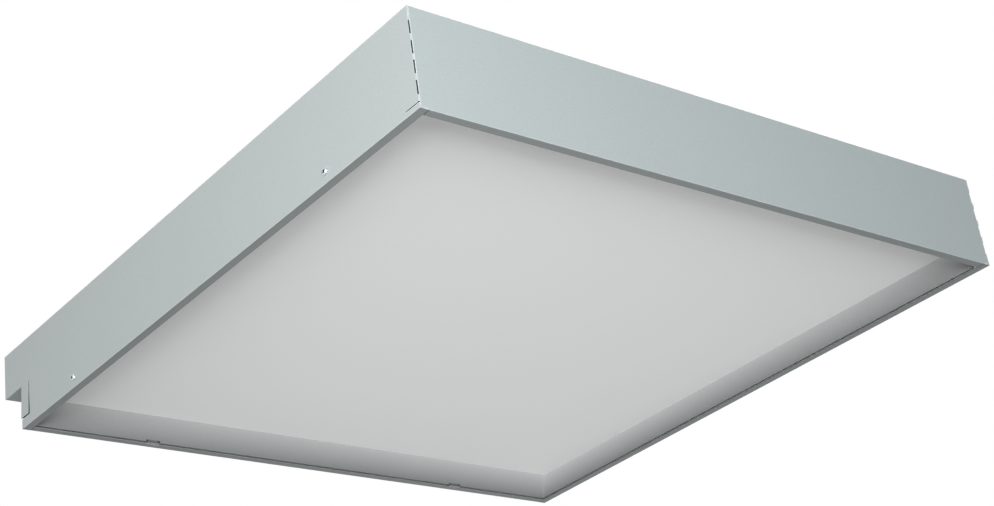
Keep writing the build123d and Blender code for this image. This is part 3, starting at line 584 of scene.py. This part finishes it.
# finishes of single faces, which no slot of the record names: all of them are painted shade
housingPaint = finishLook["housing_paint"][1]
finishLook.update({
    # painted shade: near black on the faces in slots, slits, seams and the rim joint, where gaps open to the
    # dark inside
    "seam_painted_shade": (rolledPart, {
        "colour": (0.075, 0.078, 0.08), "stretch": (60.0, 900.0, 60.0), "depth": 0.3, "roughness": 0.7,
        "edgeColour": (0.1, 0.1, 0.1)}),
    # painted shade: a dark copy of the housing paint on the rim's inner edge, for the shadow in the gap
    # beside the frame
    "rim_edge_painted_shade": (paintedSheet, {
        **housingPaint, "colour": (0.165, 0.175, 0.178), "edgeShare": 0.0, "dust": 0.0}),
    # painted shade: the housing paint made darker on the rim's underside
    "rim_underside_painted_shade": (paintedSheet, {
        **housingPaint, "colour": (0.298, 0.322, 0.3225), "edgeColour": (0.34, 0.365, 0.365)}),
    # painted shade: near black in the screws' cross recesses
    "deep_recess": (rolledPart, {
        "colour": (0.02, 0.02, 0.022), "stretch": (300.0, 300.0, 300.0), "depth": 0.3, "roughness": 0.6,
        "edgeColour": (0.05, 0.05, 0.05)}),
})
slotOf = {name: obj.data.materials[0].name for name, obj in nodes.items()}
finishes = {name: make(name + "_finish", look) for name, (make, look) in finishLook.items()}
for name, obj in nodes.items():
    obj.data.materials[0] = finishes[slotOf[name]]
print("stage: finishes made,", len(finishes))


# pieces that stand for CAD nodes: the same forms with their folds and mouldings rounded, in millimetres
roundedEdges = {
    "left_wall": 0.3, "right_wall": 0.3, "front_wall": 0.35, "back_lower_wall": 0.35,
    "back_upper_wall": 0.35, "top_plate": 0.35,
    "frame_left": 0.3, "frame_right": 0.3, "frame_front": 0.3, "frame_back": 0.3, "diffuser_sheet": 0.5,
    "gear_cover": 0.35, "ballast_case": 0.3, "ballast_base": 0.3, "ballast_sockets": 0.4,
    "terminal_body": 0.4, "terminal_button_1": 0.4, "terminal_button_2": 0.4, "terminal_button_3": 0.4,
    "leaf_springs": 0.12, "diffuser_clips": 0.12, "hinge_ears": 0.2, "hinge_knuckles": 0.15,
    "side_nuts": 0.25, "wire_saddles": 0.25, "earth_point": 0.2,
}
for number in "1234":
    roundedEdges["lampholder_" + number + "_front"] = 0.5
    roundedEdges["lampholder_" + number + "_back"] = 0.5
    roundedEdges["lamp_" + number + "_rotors"] = 0.3

# how they are rounded: turns in degrees, distances in metres; the rim's joints are rounded more
roundLook = {
    "mergeWithin": 0.000003, "flatTurn": 0.6, "sharpTurn": 30.0, "smoothTurn": 46.0, "segments": 2,
    "plainWeight": 0.6, "jointWeight": 1.0, "jointWithin": 0.00002, "jointLength": 0.01, "faceWeight": 100,
}

# inner edge of the rim, in metres
rimInside = {"x": 0.29, "front": -0.306, "back": 0.274}

# cut slots and slits, the same on both sides: their edges stay sharp and their cut faces get painted shade
cutPlaces = {  # lowest and highest corner, in metres
    "foldSlots": ((0.2960, -0.3134, 0.0100), (0.2985, -0.3124, 0.0706)),
    "rimSlit": ((0.2960, -0.3134, 0.0042), (0.2985, -0.2980, 0.0054)),
    "tabFoot": ((0.2940, 0.2660, 0.0088), (0.2985, 0.2820, 0.0099)),
    "tabSide": ((0.2940, 0.2663, 0.0088), (0.2985, 0.2675, 0.0408)),
}


def pick(obj):
    bpy.ops.object.select_all(action="DESELECT")
    obj.select_set(True)
    bpy.context.view_layer.objects.active = obj


def standFor(piece, nodeName):
    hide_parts(nodeName)
    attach(piece, nodes[nodeName]["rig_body"])


def inCut(point):
    spot = (abs(point.x), point.y, point.z)
    return any(all(low[i] <= spot[i] <= high[i] for i in range(3)) for low, high in cutPlaces.values())


def atRimJoint(edge, middle, look):
    beside = abs(abs(middle.x) - rimInside["x"]) < look["jointWithin"]
    return beside and middle.z < look["jointWithin"] and edge.calc_length() < look["jointLength"]


def markEdges(piece, look):
    shape = bmesh.new()
    shape.from_mesh(piece.data)
    weights = shape.edges.layers.float
    weight = weights.get("bevel_weight_edge") or weights.new("bevel_weight_edge")
    sharpTurn = math.radians(look["sharpTurn"])
    for edge in shape.edges:
        middle = (edge.verts[0].co + edge.verts[1].co) / 2
        if inCut(middle) or len(edge.link_faces) != 2 or edge.calc_face_angle() <= sharpTurn:
            edge[weight] = 0.0
        else:
            edge[weight] = look["jointWeight"] if atRimJoint(edge, middle, look) else look["plainWeight"]
    shape.to_mesh(piece.data)
    shape.free()


def roundedCopy(nodeName, width, look):
    pick(nodes[nodeName])
    bpy.ops.object.duplicate()
    piece = bpy.context.object
    piece.name = nodeName + "_rounded"
    del piece["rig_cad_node"]
    bpy.ops.object.mode_set(mode="EDIT")
    bpy.ops.mesh.select_all(action="SELECT")
    bpy.ops.mesh.customdata_custom_splitnormals_clear()
    bpy.ops.mesh.remove_doubles(threshold=look["mergeWithin"])
    bpy.ops.mesh.dissolve_limited(angle_limit=math.radians(look["flatTurn"]))
    bpy.ops.object.mode_set(mode="OBJECT")
    markEdges(piece, look)
    bevel = piece.modifiers.new("roundEdges", "BEVEL")
    bevel.width = width / (1000.0 * look["plainWeight"])  # in metres, and right for an edge of plain weight
    bevel.segments = look["segments"]
    bevel.limit_method = "WEIGHT"
    bpy.ops.object.modifier_apply(modifier=bevel.name)
    bpy.ops.object.shade_smooth_by_angle(angle=math.radians(look["smoothTurn"]))
    level = piece.modifiers.new("flatFaces", "WEIGHTED_NORMAL")
    level.keep_sharp = True
    level.weight = look["faceWeight"]
    bpy.ops.object.modifier_apply(modifier=level.name)
    return piece


# faces of the walls with painted shade of their own: how near and low they are, and how far they face that
# way
wallFaceLook = {
    "seamWithin": 0.00002, "seamTurn": 0.99, "jointWithin": 0.0006, "jointBelow": 0.0004, "jointTurn": 0.3,
    "cutTurn": 0.5, "edgeWithin": 0.00027, "edgeBelow": 0.00102, "edgeTurn": 0.45, "rimBelow": 0.0001,
    "rimTurn": -0.9,
}

# walls that have them, and the distance of their end seams from the middle
wallSeams = {"left_wall": None, "right_wall": None, "front_wall": 0.2965, "back_lower_wall": 0.2965}


def atRimEdge(spot, turn, look):
    insets = (rimInside["x"] - abs(spot.x), spot.y - rimInside["front"], rimInside["back"] - spot.y)
    near = any(abs(inset) < look["edgeWithin"] for inset in insets)
    return near and spot.z < look["edgeBelow"] and max(abs(turn.x), abs(turn.y)) > look["edgeTurn"]


def isBareCut(spot, turn, seamX, look):
    beside = abs(spot.x)
    seam = seamX and abs(beside - seamX) < look["seamWithin"] and abs(turn.x) > look["seamTurn"]
    joint = abs(beside - rimInside["x"]) < look["jointWithin"] and abs(turn.x) > look["jointTurn"]
    return seam or (joint and spot.z < look["jointBelow"]) or (inCut(spot) and abs(turn.x) < look["cutTurn"])


def finishWallFaces(piece, seamX, look):
    for finish in ("seam_painted_shade", "rim_edge_painted_shade", "rim_underside_painted_shade"):
        piece.data.materials.append(finishes[finish])
    # faces in seams, slots and the rim joint, the rim's inner edge and the rim's underside get painted shade
    for face in piece.data.polygons:
        spot, turn = face.center, face.normal
        if isBareCut(spot, turn, seamX, look):
            face.material_index = 1
        elif atRimEdge(spot, turn, look):
            face.material_index = 2
        elif spot.z < look["rimBelow"] and turn.z < look["rimTurn"]:
            face.material_index = 3


for nodeName, width in roundedEdges.items():
    piece = roundedCopy(nodeName, width, roundLook)
    if nodeName in wallSeams:
        finishWallFaces(piece, wallSeams[nodeName], wallFaceLook)
    standFor(piece, nodeName)
print("stage: rounded pieces made,", len(roundedEdges))


# turned, cut and placed pieces
def turnedPiece(name, profile, sides):
    radius, height = profile[0]
    bpy.ops.object.select_all(action="DESELECT")
    bpy.ops.mesh.primitive_circle_add(
        vertices=sides, radius=radius, fill_type="NGON", location=(0, 0, height))
    piece = bpy.context.object
    piece.name = name
    bpy.ops.object.transform_apply(location=True)
    bpy.ops.object.mode_set(mode="EDIT")
    bpy.ops.mesh.select_all(action="SELECT")
    for nextRadius, nextHeight in profile[1:]:
        bpy.ops.mesh.extrude_region_move(TRANSFORM_OT_translate={"value": (0, 0, nextHeight - height)})
        share = nextRadius / radius
        bpy.ops.transform.resize(value=(share, share, 1), center_override=(0, 0, nextHeight))
        radius, height = nextRadius, nextHeight
    bpy.ops.mesh.select_all(action="SELECT")
    bpy.ops.mesh.normals_make_consistent(inside=False)
    bpy.ops.object.mode_set(mode="OBJECT")
    return piece


def scaledProfile(shares, radius, height):
    return [(radius * across, height * up) for across, up in shares]


def placePiece(piece, place=(0, 0, 0), turn=(0, 0, 0)):
    piece.location = place
    piece.rotation_euler = turn
    pick(piece)
    bpy.ops.object.transform_apply(location=True, rotation=True, scale=True)


def copyPiece(piece, name):
    pick(piece)
    bpy.ops.object.duplicate()
    bpy.context.object.name = name
    return bpy.context.object


def joinPieces(pieces):
    pick(pieces[0])
    for piece in pieces:
        piece.select_set(True)
    bpy.ops.object.join()
    return pieces[0]


def smoothPiece(piece, angle=35.0):
    pick(piece)
    bpy.ops.object.shade_smooth_by_angle(angle=math.radians(angle))


# pan-head screws with a cross recess, in metres; the head's profile is in shares of its radius and height
screwLook = {
    "headRadius": 0.0031, "headHeight": 0.0016, "threadRadius": 0.0015, "coreRadius": 0.0012, "pitch": 0.0005,
    "headProfile": (
        (0.98, 0.0), (1.0, 0.05), (1.0, 0.4), (0.96, 0.62), (0.86, 0.82), (0.7, 0.95), (0.5, 1.0)),
    "tipShare": 0.5, "firstRise": 0.7, "sides": 28, "smoothTurn": 30.0,
    "crossLength": 0.0062, "crossWidth": 0.002, "crossDepth": 0.0013, "crossTaper": 0.55,
    "recessFrom": 0.02, "recessTo": 0.999, "recessShare": 0.95,  # shares of the head that hold the cross
    "turns": (0.5, 0.95, 0.3, 1.2), "gearTurnShare": 1.7,
    "sideShank": 0.006, "sideX": 0.2975, "sideY": (-0.2005, 0.1845), "sideZ": 0.0093,
    "gearShank": 0.0042, "gearX": 0.038, "gearY": 0.24, "gearZ": 0.0806,
}


def cutCross(piece, look):
    top, depth = look["headHeight"], look["crossDepth"]
    taper = look["crossTaper"]
    for turn in (0.0, math.pi / 2):
        bpy.ops.object.select_all(action="DESELECT")
        bpy.ops.mesh.primitive_cube_add(size=1.0)
        blade = bpy.context.object
        blade.scale = (look["crossLength"], look["crossWidth"], depth * 2)
        placePiece(blade, (0, 0, top), (0, 0, turn))
        for vertex in blade.data.vertices:
            vertex.select = vertex.co.z < top
        bpy.ops.object.mode_set(mode="EDIT")
        bpy.ops.transform.resize(value=(taper, taper, 1), center_override=(0, 0, top - depth))
        bpy.ops.object.mode_set(mode="OBJECT")
        cut = piece.modifiers.new("crossCut", "BOOLEAN")
        cut.operation = "DIFFERENCE"
        cut.solver = "EXACT"
        cut.object = blade
        pick(piece)
        bpy.ops.object.modifier_apply(modifier=cut.name)
        bpy.data.objects.remove(blade)


def inRecess(spot, profile, look):
    high = look["headHeight"]
    if not high * look["recessFrom"] < spot.z < high * look["recessTo"]:
        return False
    radius = max(across for across, up in profile if up > 0)
    for (lowRadius, low), (topRadius, top) in zip(profile, profile[1:]):
        if low <= spot.z <= top and top > low:
            radius = lowRadius + (topRadius - lowRadius) * (spot.z - low) / (top - low)
    return math.hypot(spot.x, spot.y) < radius * look["recessShare"]


def panHeadScrew(name, shank, look):
    core, thread, pitch = look["coreRadius"], look["threadRadius"], look["pitch"]
    profile = [(core * look["tipShare"], -shank)]
    level = pitch * look["firstRise"] - shank
    while level < -pitch:
        profile += [(core, level), (thread, level + pitch / 2)]
        level += pitch
    profile += [(thread, 0.0)] + scaledProfile(look["headProfile"], look["headRadius"], look["headHeight"])
    screw = turnedPiece(name, profile, look["sides"])
    cutCross(screw, look)
    screw.data.materials.append(finishes["zinc_screw"])
    screw.data.materials.append(finishes["deep_recess"])
    # the faces of the cross recess get painted shade
    for face in screw.data.polygons:
        face.material_index = 1 if inRecess(face.center, profile, look) else 0
    smoothPiece(screw, look["smoothTurn"])
    return screw


def makeScrews(look):
    sideMaster = panHeadScrew("sideScrewMaster", look["sideShank"], look)
    gearMaster = panHeadScrew("gearScrewMaster", look["gearShank"], look)
    sideScrews = []
    gearScrews = []
    sidePlaces = [(side, y) for side in (-1, 1) for y in look["sideY"]]
    gearPlaces = [(sideX * look["gearX"], sideY * look["gearY"]) for sideX in (-1, 1) for sideY in (-1, 1)]
    for index, ((side, y), (gearX, gearY)) in enumerate(zip(sidePlaces, gearPlaces)):
        screw = copyPiece(sideMaster, "sideScrew" + str(index + 1))
        placePiece(screw, (0, 0, 0), (0, 0, look["turns"][index]))
        placePiece(screw, (side * look["sideX"], y, look["sideZ"]), (0, side * math.pi / 2, 0))
        sideScrews.append(screw)
        screw = copyPiece(gearMaster, "gearScrew" + str(index + 1))
        placePiece(screw, (0, 0, 0), (0, 0, look["turns"][index] * look["gearTurnShare"]))
        placePiece(screw, (gearX, gearY, look["gearZ"]), (math.pi, 0, 0))
        gearScrews.append(screw)
    for master in (sideMaster, gearMaster):
        bpy.data.objects.remove(master)
    standFor(joinPieces(sideScrews), "side_screws")
    standFor(joinPieces(gearScrews), "gear_screws")


makeScrews(screwLook)
print("stage: screws made")


# lamp ends, in metres: caps with a crimped ring and an insulating disc, and pins with rounded tips
lampEndLook = {
    "lampZ": 0.0563, "lampStep": 0.14, "lampMiddle": 0.35, "endY": 0.2949,
    "capRadius": 0.0134, "capInner": 0.01303, "capLength": 0.01, "ringRadius": 0.0131, "discRadius": 0.0094,
    "capSides": 40, "discFrom": 0.96, "discShare": 0.5,
    "pinRadius": 0.00118, "pinLength": 0.007, "pinSpread": 0.0127, "pinSides": 20,
    "pinProfile": ((1.0, 0.0), (1.0, 0.3), (0.86, 0.34), (0.86, 0.4), (1.0, 0.44), (1.0, 0.86), (0.88, 0.95),
                   (0.55, 1.0)),  # shares of its radius and length, as all profiles here
}
finishes["cap_disc"] = mouldedPart("cap_disc_finish", {
    "colour": (0.5, 0.44, 0.36), "roughness": 0.55, "edgeColour": (0.6, 0.55, 0.48), "cloudDepth": 0.15})


def capMaster(look):
    inner, outer, ring, disc = look["capInner"], look["capRadius"], look["ringRadius"], look["discRadius"]
    profile = (  # radius, and share of the length
        (inner, 0.9), (inner, 0.0), (outer, 0.0), (outer, 0.16), (ring, 0.2), (ring, 0.26), (outer, 0.3),
        (outer, 0.92), (outer * 0.985, 0.97), (outer * 0.955, 1.0), (disc * 1.04, 1.0), (disc * 1.02, 0.975),
        (disc, 0.985))
    cap = turnedPiece("lampCapMaster", scaledProfile(profile, 1.0, look["capLength"]), look["capSides"])
    cap.data.materials.append(finishes["lamp_cap"])
    cap.data.materials.append(finishes["cap_disc"])
    for face in cap.data.polygons:
        spot = face.center
        atEnd = spot.z > look["capLength"] * look["discFrom"]
        if atEnd and math.hypot(spot.x, spot.y) < disc * look["discShare"]:
            face.material_index = 1
    smoothPiece(cap)
    return cap


def pinMaster(look):
    profile = scaledProfile(look["pinProfile"], look["pinRadius"], look["pinLength"])
    pin = turnedPiece("lampPinMaster", profile, look["pinSides"])
    pin.data.materials.append(finishes["pin_metal"])
    smoothPiece(pin)
    return pin


def makeLampEnds(look):
    cap, pin = capMaster(look), pinMaster(look)
    endY, lampZ = look["endY"], look["lampZ"]
    for number in range(1, 5):
        x = look["lampStep"] * number - look["lampMiddle"]
        caps = []
        pins = []
        for end in (-1, 1):
            tilt = (-end * math.pi / 2, 0, 0)
            caps.append(copyPiece(cap, "lampCap" + str(number) + "front" * (end < 0) + "back" * (end > 0)))
            placePiece(caps[-1], (x, end * (endY - look["capLength"]), lampZ), tilt)
            for side in (-1, 1):
                pins.append(copyPiece(pin, "lampPin" + str(number) + str(len(pins) + 1)))
                placePiece(pins[-1], (x + side * look["pinSpread"] / 2, end * endY, lampZ), tilt)
        standFor(joinPieces(caps), "lamp_" + str(number) + "_caps")
        standFor(joinPieces(pins), "lamp_" + str(number) + "_pins")
    for master in (cap, pin):
        bpy.data.objects.remove(master)


makeLampEnds(lampEndLook)
print("stage: lamp ends made")


# three supply wires between the terminal and the gear, each in its own colour, in metres
wireLook = {
    "radius": 0.0012, "z": 0.076, "endY": 0.16, "sides": 20,
    "starts": {"brown": (-0.006, 0.138), "blue": (0.0, 0.138), "earth": (0.006, 0.1547)},  # x and y
    "profile": ((0.55, 0.0), (0.55, 0.03), (0.92, 0.03), (1.0, 0.05), (1.0, 0.95), (0.92, 0.97), (0.55, 0.97),
                (0.55, 1.0)),
    "colours": {"brown": (0.16, 0.07, 0.035), "blue": (0.03, 0.13, 0.45)},
    "sleeve": {"roughness": 0.36, "edgeShare": 0.0, "dust": 0.05},
}
earthSleeveLook = {
    "yellow": (0.8, 0.66, 0.07), "green": (0.06, 0.33, 0.09), "halfWidth": 0.0005, "softShare": 1.2,
    "fleckScale": 2200.0, "fleckDepth": 0.08, "cloudScale": 60.0, "cloudDepth": 0.08, "roughness": 0.36,
    "spread": 0.1, "bump": 0.1, "bumpDepth": 0.0001,
}


def stripedSleeve(name, middleX, look):
    material, tree, shader = newFinish(name)
    across = partsOf(tree, objectPoint(tree))["X"]
    offset = combine(tree, "ABSOLUTE", combine(tree, "SUBTRACT", across, middleX), 0.0)
    share = remap(tree, offset, look["halfWidth"], look["halfWidth"] * look["softShare"])
    stripes = mixColour(tree, share, opaque(look["yellow"]), opaque(look["green"]))
    grain = surfaceGrain(tree, look, stripes)
    feed(tree, shader, {"Base Color": grain["Colour"], "Roughness": grain["Roughness"]})
    addBump(tree, shader, grain["Height"], look)
    return material


def makeSupplyWires(look):
    middleX = look["starts"]["earth"][0]
    finishes["earth_sleeve"] = stripedSleeve("earth_sleeve_finish", middleX, earthSleeveLook)
    for colour, value in look["colours"].items():
        sleeve = {**look["sleeve"], "colour": value, "edgeColour": value}
        finishes[colour + "_sleeve"] = mouldedPart(colour + "_sleeve_finish", sleeve)
    wires = []
    for colour, (x, startY) in look["starts"].items():
        profile = scaledProfile(look["profile"], look["radius"], look["endY"] - startY)
        wire = turnedPiece("supplyWire_" + colour, profile, look["sides"])
        wire.data.materials.append(finishes[colour + "_sleeve"])
        smoothPiece(wire)
        placePiece(wire, (x, startY, look["z"]), (-math.pi / 2, 0, 0))
        wires.append(wire)
    standFor(joinPieces(wires), "mains_wires")


makeSupplyWires(wireLook)
print("stage: supply wires made")
